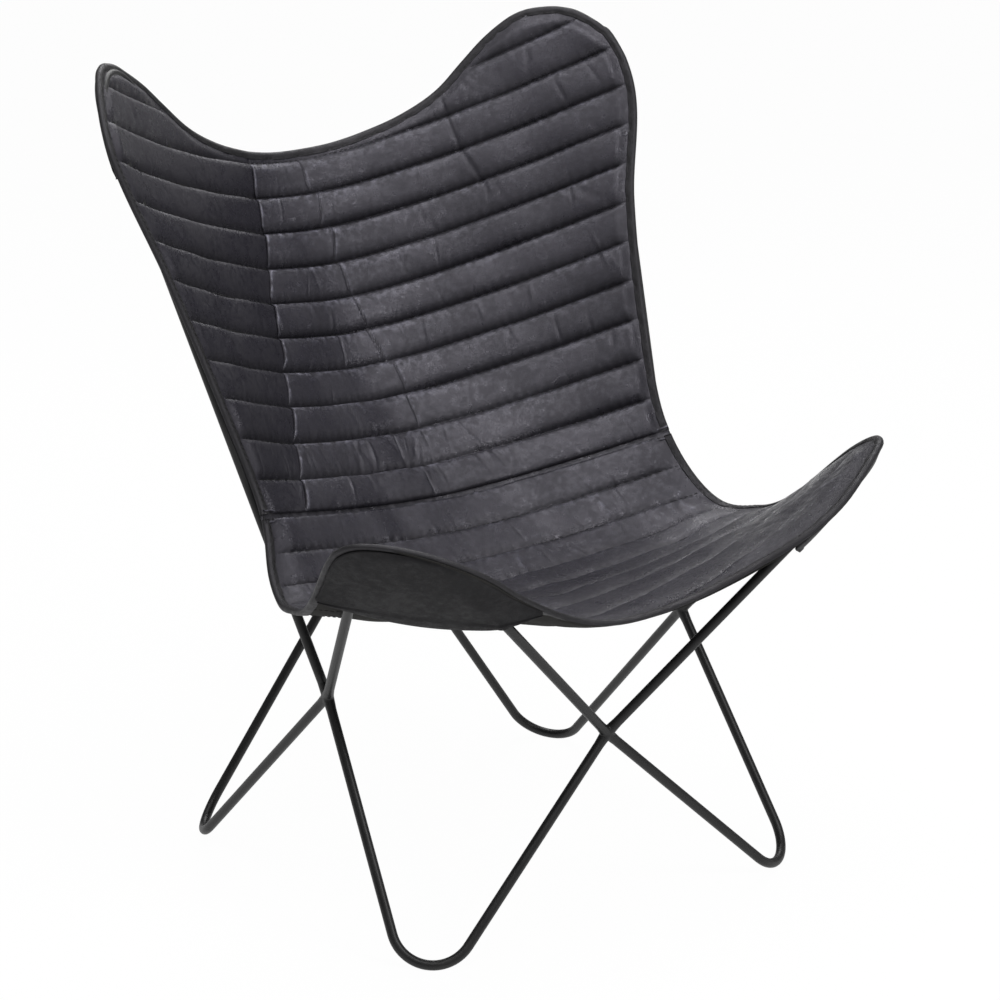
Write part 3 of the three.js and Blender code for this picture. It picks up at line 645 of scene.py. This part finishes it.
# Charcoal face leather: the pale bluish colour is a painted highlight colour with some wear; the near-black
# colour serves both the mottling and the painted shade.
face_leather = leather("charcoal_leather", (0.0166, 0.0157, 0.0207), (0.24, 0.235, 0.29),
                       (0.004, 0.0038, 0.0047), 0.24, 0.54, 0.55, True)
LOOKS = {"back": (0.0080, 0.45, 0.013), "seat": (0.0042, 0.3, 0.030)}
panel_top = {}
for name, (first, last, start, end, bend) in PANELS.items():
    crown, fill, hem_slope = LOOKS[name]
    across = np.append(np.concatenate([np.linspace(*part, endpoint=False) for part in COLUMNS[name]]), 1.0)
    columns, u = panel_columns(first, last, channel_rows(start, end, 13), across, bend)
    q = np.concatenate(columns)
    faces = column_faces(columns)
    s, t = across_cut(u, q), q * STATION
    line_u, line_q = outline(name)
    inset = distance_to(sling(u, q), sling(line_u, line_q))
    phase = ((q - start) / CHANNEL) % 1
    full = ease(inset, HEM - 0.002, HEM + hem_slope)
    row = np.floor((q - start) / CHANNEL + 1e-6)
    plump = 1 + 0.16 * np.sin(row * 2.4 + s * 9) + 0.1 * np.sin(row * 5.1 - s * 23)
    arch = smooth_through(phase, *CHANNEL_FORM)
    from_stitch = np.minimum(phase, 1 - phase) * CHANNEL * STATION
    near_stitch = np.exp(-from_stitch / 0.006)
    pucker = np.sin(2 * pi * s / 0.013 + 3.1 * row + 2 * np.sin(s * 31 + row)) * near_stitch * 0.0003
    height = crown * plump * arch
    # Painted highlight: the colour is made pale along the top of each channel, just under its upper stitches,
    # where the leather faces the light; a little even wear is added everywhere.
    uneven = 0.5 + 0.5 * np.sin(s * 40 + 2.1 * row) * np.sin(s * 17 - 1.3 * row)
    rim_light = hump(phase, 0.075, 0.035)
    sheen_and_wear = 0.05 + 0.5 * rim_light * uneven + 0.09 * hump(phase, 0.2, 0.13) * uneven
    spread = ((-0.4, 0.4), (start * STATION, end * STATION))
    if name == "back":
        main, second = crease(u, q, MAIN_CREASE), crease(u, q, SECOND_CREASE)
        shoulder = crease(u, q, SHOULDER_CREASE)
        right = ease(main, -0.001, 0.0012)
        # The painted highlight is kept mostly right of the main crease; the wing left of it faces away from
        # the light.
        sheen_and_wear *= 0.1 + 0.9 * right
        height *= 0.6 + 0.4 * right
        height -= 0.0018 * hump(main, 0, 0.0011) * arch
        used = ease(3.6 - q, 0, 0.4) * arch
        height -= 0.0026 * hump(second, 0, 0.0012) * used
        height -= 0.0014 * np.exp(-np.abs(second) / 0.012) * used * (second > 0)
        height -= 0.0016 * hump(shoulder, 0, 0.003) * ease(1.6 - q, 0, 0.3)
        # Painted highlights along the lit side of the main and second creases, and a broad painted sheen
        # patch in the middle of the back.
        sheen_and_wear += 0.6 * hump(main, 0.0026, 0.0016) * arch
        sheen_and_wear += 0.3 * hump(second, 0.0032, 0.0018) * used
        sheen_and_wear += 0.7 * rim_light * right * ease(-second, -0.001, 0.003)
        sheen_patch = hump(u, 0.1, 0.2) * ease(4.2 - q, 0, 1)
        sheen_and_wear += 0.22 * sheen_patch * hump(phase, 0.17, 0.11) * right
        height += wrinkles(s, t, 60, ((-0.25, 0.12), (3.3 * STATION, 4 * STATION)), 31, 0.9) * 1.3 * arch
        height += wrinkles(s, t, 150, spread, 11, 0.35) * arch + ripples(s, t, 3, 0.0007)
    else:
        dents = wrinkles(s, t, 260, spread, 23, 1.1) * 0.7
        height += dents + ripples(s, t, 5, 0.0009)
        # Painted highlight on the raised dents of the seat.
        sheen_and_wear += 0.3 * np.clip(dents / 0.0006, 0, 1)
    height = (height + pucker) * full
    # Painted highlight on the puckers beside the stitches.
    sheen_and_wear += 0.3 * np.clip(pucker / 0.0003, 0, 1) * near_stitch
    # Painted shade: the colour is darkened at each stitched groove, over the lower part of every channel
    # where it turns down from the light, and along the main and second creases.
    fold = np.exp(-from_stitch / 0.0022) * full * 0.95
    fold = np.maximum(fold, 0.7 * ease(phase, 0.72, 1) * full)
    if name == "back":
        fold = np.maximum(fold, 0.9 * hump(main, -0.0004, 0.0013) * arch)
        fold = np.maximum(fold, 0.95 * hump(second, 0, 0.0013) * used)
    upright = sling_normal(u, q)
    base = sling(u, q)
    lower = base + upright * (LINING + 0.0003)
    upper = base + upright * (FACE_AT_STITCH + height)[:, None]
    points, shell = closed_sheet(lower, upper, faces)
    piece = add_piece(f"{name}_quilt", points, shell, face_leather, "face_leather",
                      f"{name}_face", f"{name}_wadding")
    # Each point stores its painted highlight mask, with a little wear, and its painted shade mask for the
    # leather to read.
    for attribute, values in (("sheen_and_wear", sheen_and_wear * full), ("fold", fold)):
        mark(piece, attribute, np.concatenate([np.zeros(len(u)), values]))


# Edge bindings: a strip of thinner black leather folded over the free edge of each panel
# and sewn through near its inner side, so that it puckers a little at every channel.
BAND_STITCH = 0.0064
BAND_WAVY_FROM = 0.004
BAND_PROFILE = (
    (0.0086, 0.0042), (0.0085, 0.0049), (0.0078, 0.0054), (0.0064, 0.0050), (0.0052, 0.0055),
    (0.0036, 0.0058), (0.0020, 0.0056), (0.0007, 0.0050), (-0.0007, 0.0041), (-0.0013, 0.0027),
    (-0.0013, 0.0012), (-0.0008, -0.0002), (0.0008, -0.0009), (0.0040, -0.0010), (0.0076, -0.0009),
    (0.0080, -0.0004), (0.0078, 0.0002))


def edge_frame(u, q):
    """Points of an outline with the way into the panel and the way to the sitter."""
    points, upright = sling(u, q), sling_normal(u, q)
    inward = unit(np.cross(unit(np.gradient(points, axis=0)), upright))
    return points, inward, upright


def strip_faces(steps, count):
    """Faces of a closed profile that is carried along a line, with both ends closed."""
    faces = []
    for k in range(steps):
        for j in range(count):
            a, b, n = k * count, (k + 1) * count, (j + 1) % count
            faces.append((a + j, b + j, b + n, a + n))
    return faces + [tuple(range(count))[::-1], tuple(range(steps * count, (steps + 1) * count))]


binding_leather = leather("black_binding", (0.013, 0.0127, 0.0128), (0.06, 0.058, 0.06),
                          (0.0045, 0.0045, 0.0045), 0.42, 0.6, 0.4)
for name in PANELS:
    u, q = outline(name)
    points, inward, upright = edge_frame(u, q)
    run = np.arange(len(u)) * EDGE_STEP
    wavy = 0.0003 * np.sin(run * 2 * pi / 0.021) + 0.0003 * np.sin(run * 2 * pi / 0.047 + 1)
    rings = np.stack([points + inward * a + upright * (h + wavy * (a > BAND_WAVY_FROM))[:, None]
                      for a, h in BAND_PROFILE], 1)
    faces = [face[::-1] for face in strip_faces(len(u) - 1, len(BAND_PROFILE))]
    add_piece(f"{name}_edge_band", rings.reshape(-1, 3), faces, binding_leather, "binding_leather",
              f"{name}_binding")


# Seam: back and seat meet under a narrow strip of the charcoal leather, sewn down along both
# sides, with a raised ridge along each. A tongue under it fills the slit between the panels.
SEAM_PROFILE = (
    (-0.0080, 0.0040), (-0.0076, 0.0058), (-0.0062, 0.0066), (-0.0050, 0.0058), (-0.0040, 0.0049),
    (0.0010, 0.0050), (0.0046, 0.0049), (0.0058, 0.0056), (0.0070, 0.0055), (0.0078, 0.0043),
    (0.0074, 0.0015), (0.0030, 0.0015),
    (0.0030, -0.0008), (-0.0030, -0.0008), (-0.0030, 0.0015), (-0.0074, 0.0015))
# Painted highlight, with some wear, on the seam's raised ridges, and painted shade in its valleys and on the
# tongue beneath; one value for each profile point.
SEAM_SHEEN_AND_WEAR = np.array((0, 0.3, 0.7, 0.1, 0, 0.1, 0, 0.4, 0.3, 0, 0, 0, 0, 0, 0, 0))
SEAM_SHADE = np.array((1, 0.2, 0, 0.8, 1, 0.5, 1, 0.2, 0, 1, 1, 1, 1, 1, 1, 1))
SEAM_STEPS = 300
across = np.linspace(-1, 1, SEAM_STEPS + 1)
middle = np.full(SEAM_STEPS + 1, SEAM)
points, upright = sling(across, middle), sling_normal(across, middle)
down = unit(sling(across, middle + 0.01) - points)
gather = 0.0004 * np.sin(across * 97) * np.sin(across * 31 + 1)
rings = np.stack([points + down * a + upright * (h + gather)[:, None] for a, h in SEAM_PROFILE], 1)
faces = strip_faces(SEAM_STEPS, len(SEAM_PROFILE))
piece = add_piece("seam_strip", rings.reshape(-1, 3), faces, face_leather, "binding_leather", "seam_welt")
mark(piece, "sheen_and_wear", np.tile(SEAM_SHEEN_AND_WEAR, SEAM_STEPS + 1))
mark(piece, "fold", np.tile(SEAM_SHADE, SEAM_STEPS + 1))


# Corner pockets: panels of smooth dark leather sewn under the sling's four corners. The wall
# slants in to the rod, passes round its bend and ends in a folded mouth for the tip.
POCKET_THICKNESS = 0.0014
POCKET_GAP = 0.0010
POCKET_INSET = 0.004
POCKET_ROUND = 0.004
POCKET_LIP = 0.0015
POCKET_SLANT = 0.05
POCKET_EASE = 0.0015
POCKET_SAG = 0.0015
POCKET_HEM = 0.0009
POCKET_SMOOTHING = 12
POCKETS = {
    "back": (BACK_TIP, REAR_WELD, 0.012, 0.030, 0.35, 0.35),
    "front": (FRONT_TIP, FRONT_WELD, 0.003, 0.036, 0.12, 0.3),
}
pocket_leather = leather("smooth_pocket_leather", (0.005, 0.0049, 0.0047), (0.07, 0.068, 0.068),
                         (0.0035, 0.0034, 0.0033), 0.5, 0.64, 0.2)


def pocket_outline(name, sign):
    """The part of a corner's edge that the pocket is sewn to, from its lower to its inner end."""
    u, q = outline("back" if name == "back" else "seat")
    if name == "back":
        keep = (u * sign > 0.58) & (q < 1.1)
    else:
        keep = (u * sign > 0.36) & (q > 6.15)
    u, q = u[keep], q[keep]
    if (u[0] * sign < u[-1] * sign) == (name == "front"):
        u, q = u[::-1], q[::-1]
    return u, q


for name, (tip, middle, end_depth, belly, first_round, last_round) in POCKETS.items():
    for side, mirror in SIDES.items():
        sign = mirror[0]
        u, q = pocket_outline(name, sign)
        plane = tip_plane(tip + TIP_PULL[f"{name}_{side}"], middle)
        to_sitter, centre, origin = plane[2] * mirror, plane[4] * mirror, SIDE_WELD * mirror
        upright = sling_normal(u, q)
        rim = sling(u, q) - upright * POCKET_GAP
        inward = centre - rim
        inward = unit(inward - upright * (inward * upright).sum(1)[:, None])
        rim += inward * POCKET_INSET
        level = (rim - origin) @ to_sitter
        lip = level - POCKET_LIP
        run = np.linspace(0, 1, len(u))
        share = ease(run, 0, first_round) * ease(1 - run, 0, last_round)
        drop = lip + (np.minimum(-ROD_CLEAR - POCKET_EASE, lip) - lip) * share - level
        line = bent_line(origin, middle, centre, TIP_BEND_RADIUS)
        every = np.linspace(0, len(line) - 1, 600)
        rod = np.stack([np.interp(every, np.arange(len(line)), line[:, k]) for k in range(3)], axis=1)
        flat_rim = rim - to_sitter * level[:, None]
        to_rod = rod[np.linalg.norm(flat_rim[:, None] - rod, axis=2).argmin(1)] - flat_rim
        reach = np.linalg.norm(to_rod, axis=1)
        slant = reach - ROD_CLEAR**2 / np.maximum(reach, ROD_CLEAR) - POCKET_EASE
        slant = np.clip(slant, 0, POCKET_SLANT) * share
        turn_line = rim + to_sitter * drop[:, None] + unit(to_rod) * slant[:, None]
        away = (turn_line[0] + turn_line[-1]) / 2 - centre
        away = unit(away - to_sitter * (away @ to_sitter))
        mouth = turn_line[0] + (turn_line[-1] - turn_line[0]) * run[:, None]
        mouth += away * (end_depth + belly * np.sin(pi * run) * (1 - 0.6 * run))[:, None]
        mouth += to_sitter * ((turn_line - mouth) @ to_sitter)[:, None]
        to_rim, to_mouth = rim - turn_line, mouth - turn_line
        rim_reach = np.linalg.norm(to_rim, axis=1)[:, None]
        mouth_reach = np.linalg.norm(to_mouth, axis=1)[:, None]
        near = turn_line + to_rim / rim_reach * np.minimum(POCKET_ROUND, 0.8 * rim_reach)
        flat = turn_line + to_mouth / mouth_reach * np.minimum(POCKET_ROUND, 0.8 * mouth_reach)
        rows = [rim + (near - rim) * f for f in np.linspace(0, 1, 8, endpoint=False)]
        for f in np.linspace(0, 1, 7):
            rows.append(near * (1 - f) ** 2 + turn_line * 2 * f * (1 - f) + flat * f * f)
        for f in np.linspace(0.06, 1, 26):
            sag = POCKET_SAG * np.sin(pi * f) * np.sin(pi * run)
            rows.append(flat + (mouth - flat) * f - to_sitter * sag[:, None])
        rows = np.stack(rows)
        for _ in range(POCKET_SMOOTHING):
            around = rows[:-2, 1:-1] + rows[2:, 1:-1] + rows[1:-1, :-2] + rows[1:-1, 2:]
            rows[1:-1, 1:-1] = 0.5 * rows[1:-1, 1:-1] + 0.125 * around
            nearest = rod[np.linalg.norm(rows[:, :, None] - rod, axis=3).argmin(2)]
            off = rows - nearest
            gap = np.linalg.norm(off, axis=2, keepdims=True)
            rows = nearest + off / gap * np.maximum(gap, ROD_CLEAR + POCKET_EASE)
        wide = len(u)
        facing = np.cross(np.gradient(rows, axis=1), np.gradient(rows, axis=0))
        outward = -np.sign((facing[-1, wide // 2] @ to_sitter)) * unit(facing)
        hem = POCKET_THICKNESS + POCKET_HEM * (np.linspace(0, 1, len(rows)) > 0.9)
        outer = rows + outward * hem[:, None, None]
        faces = [(r * wide + k, r * wide + k + 1, (r + 1) * wide + k + 1, (r + 1) * wide + k)
                 for r in range(len(rows) - 1) for k in range(wide - 1)]
        if sign < 0:
            faces = [face[::-1] for face in faces]
        flat_rows = rows.reshape(-1, 3)
        points, shell = closed_sheet(flat_rows, outer.reshape(-1, 3), faces)
        piece = add_piece(f"{name}_{side}_tip_pocket", points, shell, pocket_leather, "pocket_leather",
                          f"{name}_{side}_pocket")


# Stitching: black thread. One row runs along every channel, on the face and on the lining,
# one along the inner side of each binding, a second on the side hems, and two on the seam.
STITCH_LENGTH = 0.0048
STITCH_PITCH = 0.0066
STITCH_RINGS = ((-0.5, -0.0005, 0.00015), (-0.3, 0.0002, 0.00038),
                (0.3, 0.0002, 0.00038), (0.5, -0.0005, 0.00015))
STITCH_SIDES = 5
STITCH_SAMPLES = 601
STITCH_RISE = 0.0050
STITCH_MARGIN = 0.09
STITCH_SIDE = 0.962
FEWEST_POINTS = 9
LINING_STITCH = 0.0001
HEM_STITCH = 0.0028
HEM_RISE = 0.0056
SEAM_STITCHES = (-0.0036, 0.0042)
thread, tree, shader = new_finish("black_thread", 0.7, 0.3)
where = place(tree, "ShaderNodeTexCoord").outputs["Object"]
plies = place(tree, "ShaderNodeTexNoise", {"Vector": where, "Scale": 900, "Detail": 2})
thread_colour = blend(tree, plies.outputs["Fac"], (0.006, 0.006, 0.006, 1), (0.018, 0.018, 0.018, 1))
tree.links.new(thread_colour, shader.inputs["Base Color"])


def stitch_row(line, upright):
    """Stitches along a line of points, each a short thread whose ends dip into the leather."""
    length = np.concatenate([[0], np.cumsum(np.linalg.norm(np.diff(line, axis=0), axis=1))])
    at = np.arange(STITCH_PITCH / 2, length[-1], STITCH_PITCH)
    pick = [np.stack([np.interp(at + shift, length, values[:, k]) for k in range(3)], 1)
            for values, shift in ((line, 0), (line, 0.001), (upright, 0))]
    middle, along, up = pick[0], unit(pick[1] - pick[0] + 1e-9), unit(pick[2])
    over = np.cross(along, up)
    angle = np.linspace(0, 2 * pi, STITCH_SIDES, endpoint=False)
    rings = []
    for share, rise, radius in STITCH_RINGS:
        centre = middle + along * share * STITCH_LENGTH + up * rise
        for a in angle:
            rings.append(centre + radius * (cos(a) * over + sin(a) * up))
    return np.stack(rings, 1)


def stitch_faces(count):
    faces, per = [], len(STITCH_RINGS) * STITCH_SIDES
    for k in range(count):
        for r in range(len(STITCH_RINGS) - 1):
            for j in range(STITCH_SIDES):
                a, b = k * per + r * STITCH_SIDES, (j + 1) % STITCH_SIDES
                faces.append((a + j, a + b, a + STITCH_SIDES + b, a + STITCH_SIDES + j))
    return faces


for name, (first, last, start, end, bend) in PANELS.items():
    stitches = []
    for k in range(1, int(round((end - start) / CHANNEL))):
        station = start + k * CHANNEL
        u = np.linspace(-1, 1, STITCH_SAMPLES)
        q = np.full(STITCH_SAMPLES, station)
        inside = (q > first(u) + STITCH_MARGIN) & (q < last(u) - STITCH_MARGIN) & (np.abs(u) < STITCH_SIDE)
        sewn = np.flatnonzero(inside)
        for part in np.split(sewn, np.flatnonzero(np.diff(sewn) > 1) + 1):
            if len(part) < FEWEST_POINTS:
                continue
            base, upright = sling(u[part], q[part]), sling_normal(u[part], q[part])
            stitches.append(stitch_row(base + upright * FACE_AT_STITCH, upright))
            stitches.append(stitch_row(base - upright * LINING_STITCH, -upright))
    line_u, line_q = outline(name)
    points, inward, upright = edge_frame(line_u, line_q)
    stitches.append(stitch_row(points + inward * BAND_STITCH + upright * STITCH_RISE, upright))
    for side_u in (-1, 1):
        along_side = line_u == side_u
        raised = points[along_side] + inward[along_side] * HEM_STITCH + upright[along_side] * HEM_RISE
        stitches.append(stitch_row(raised, upright[along_side]))
    if name == "seat":
        across = np.linspace(-0.97, 0.97, STITCH_SAMPLES)
        for shift in SEAM_STITCHES:
            station = np.full(STITCH_SAMPLES, SEAM + shift / STATION)
            base, upright = sling(across, station), sling_normal(across, station)
            stitches.append(stitch_row(base + upright * STITCH_RISE, upright))
    points = np.concatenate(stitches)
    add_piece(f"{name}_stitching", points.reshape(-1, 3), stitch_faces(len(points)), thread,
              "binding_leather")


# Studio: a pale floor that runs out to white, soft lamps high in front, on the left, above
# and behind, and the camera at the photograph's place.
CAMERA_AT = (-1.98303, -2.87511, 1.54251)
CAMERA_TURN = radians(-34.91)
CAMERA_TILT = radians(17.86)
CAMERA_ROLL = radians(-0.17)
FOCAL_LENGTH = 117.69
FRAME_SHIFT = -0.00217
FLOOR_HALF = 9.0
FLOOR_GLOW = 0.975
SKY_STRENGTH = 0.22

floor_finish, tree, shader = new_finish("pale_floor", 0.8, 0.2)
shader.inputs["Base Color"].default_value = (0.9, 0.9, 0.9, 1)
seen = place(tree, "ShaderNodeLightPath").outputs
glow = place(tree, "ShaderNodeEmission")
not_lit = place(tree, "ShaderNodeMath", {0: seen["Is Camera Ray"], 1: seen["Is Glossy Ray"]},
                operation="MAXIMUM")
clear = place(tree, "ShaderNodeMath", {0: not_lit.outputs["Value"], 1: seen["Is Transmission Ray"]},
              operation="MAXIMUM")
share = place(tree, "ShaderNodeMath", {0: clear.outputs["Value"], 1: FLOOR_GLOW}, operation="MULTIPLY")
both = place(tree, "ShaderNodeMixShader", {"Fac": share.outputs["Value"]})
tree.links.new(shader.outputs["BSDF"], both.inputs[1])
tree.links.new(glow.outputs["Emission"], both.inputs[2])
tree.links.new(both.outputs["Shader"], tree.nodes["Material Output"].inputs["Surface"])
mesh = bpy.data.meshes.new("floor")
corners = [(x, y, 0) for x, y in ((-1, -1), (1, -1), (1, 1), (-1, 1))]
mesh.from_pydata([(x * FLOOR_HALF, y * FLOOR_HALF, z) for x, y, z in corners], [], [(0, 1, 2, 3)])
mesh.materials.append(floor_finish)
floor = bpy.data.objects.new("floor", mesh)
bpy.context.scene.collection.objects.link(floor)

world = bpy.data.worlds.new("studio")
bpy.context.scene.world = world
world.use_nodes = True
tree = world.node_tree
dim = tree.nodes["Background"]
dim.inputs["Color"].default_value = (1, 1, 1, 1)
dim.inputs["Strength"].default_value = SKY_STRENGTH
white = place(tree, "ShaderNodeBackground", {"Color": (1, 1, 1, 1), "Strength": 1.0})
seen = place(tree, "ShaderNodeLightPath").outputs
clear = place(tree, "ShaderNodeMath", {0: seen["Is Camera Ray"], 1: seen["Is Transmission Ray"]},
              operation="MAXIMUM")
both = place(tree, "ShaderNodeMixShader", {"Fac": clear.outputs["Value"]})
tree.links.new(dim.outputs["Background"], both.inputs[1])
tree.links.new(white.outputs["Background"], both.inputs[2])
tree.links.new(both.outputs["Shader"], tree.nodes["World Output"].inputs["Surface"])

LAMPS = {
    "key_lamp": ((0.6, -2.1, 2.2), (0, 0.2, 0.6), 0.8, 33),
    "left_lamp": ((-1.2, -1.9, 2.1), (0, 0, 0.5), 2.0, 3),
    "back_lamp": ((1.4, 1.5, 2.3), (0, -0.05, 0.45), 1.4, 30),
    "top_lamp": ((-0.3, -0.3, 3.2), (0, 0, 0.4), 2.4, 70),
}
for name, (spot, target, size, power) in LAMPS.items():
    lamp = bpy.data.lights.new(name, "AREA")
    lamp.size = size
    lamp.energy = power
    holder = bpy.data.objects.new(name, lamp)
    holder.location = spot
    back = unit(np.array(spot) - np.array(target))
    right = unit(np.cross([0, 0, 1], back))
    aim = Matrix(np.stack([right, np.cross(back, right), back], axis=1)).to_4x4()
    holder.matrix_world = Matrix.Translation(spot) @ aim
    bpy.context.scene.collection.objects.link(holder)

back = np.array([sin(CAMERA_TURN) * cos(CAMERA_TILT), -cos(CAMERA_TURN) * cos(CAMERA_TILT), sin(CAMERA_TILT)])
level = np.array([cos(CAMERA_TURN), sin(CAMERA_TURN), 0])
upward = np.cross(back, level)
right = cos(CAMERA_ROLL) * level + sin(CAMERA_ROLL) * upward
upward = np.cross(back, right)
lens = bpy.data.cameras.new("camera")
lens.lens = FOCAL_LENGTH
lens.shift_x = FRAME_SHIFT
lens.clip_end = 60
camera = bpy.data.objects.new("camera", lens)
camera.matrix_world = Matrix.Translation(CAMERA_AT) @ Matrix(np.stack([right, upward, back], axis=1)).to_4x4()
bpy.context.scene.collection.objects.link(camera)
bpy.context.scene.camera = camera
bpy.context.scene.view_settings.view_transform = "Standard"
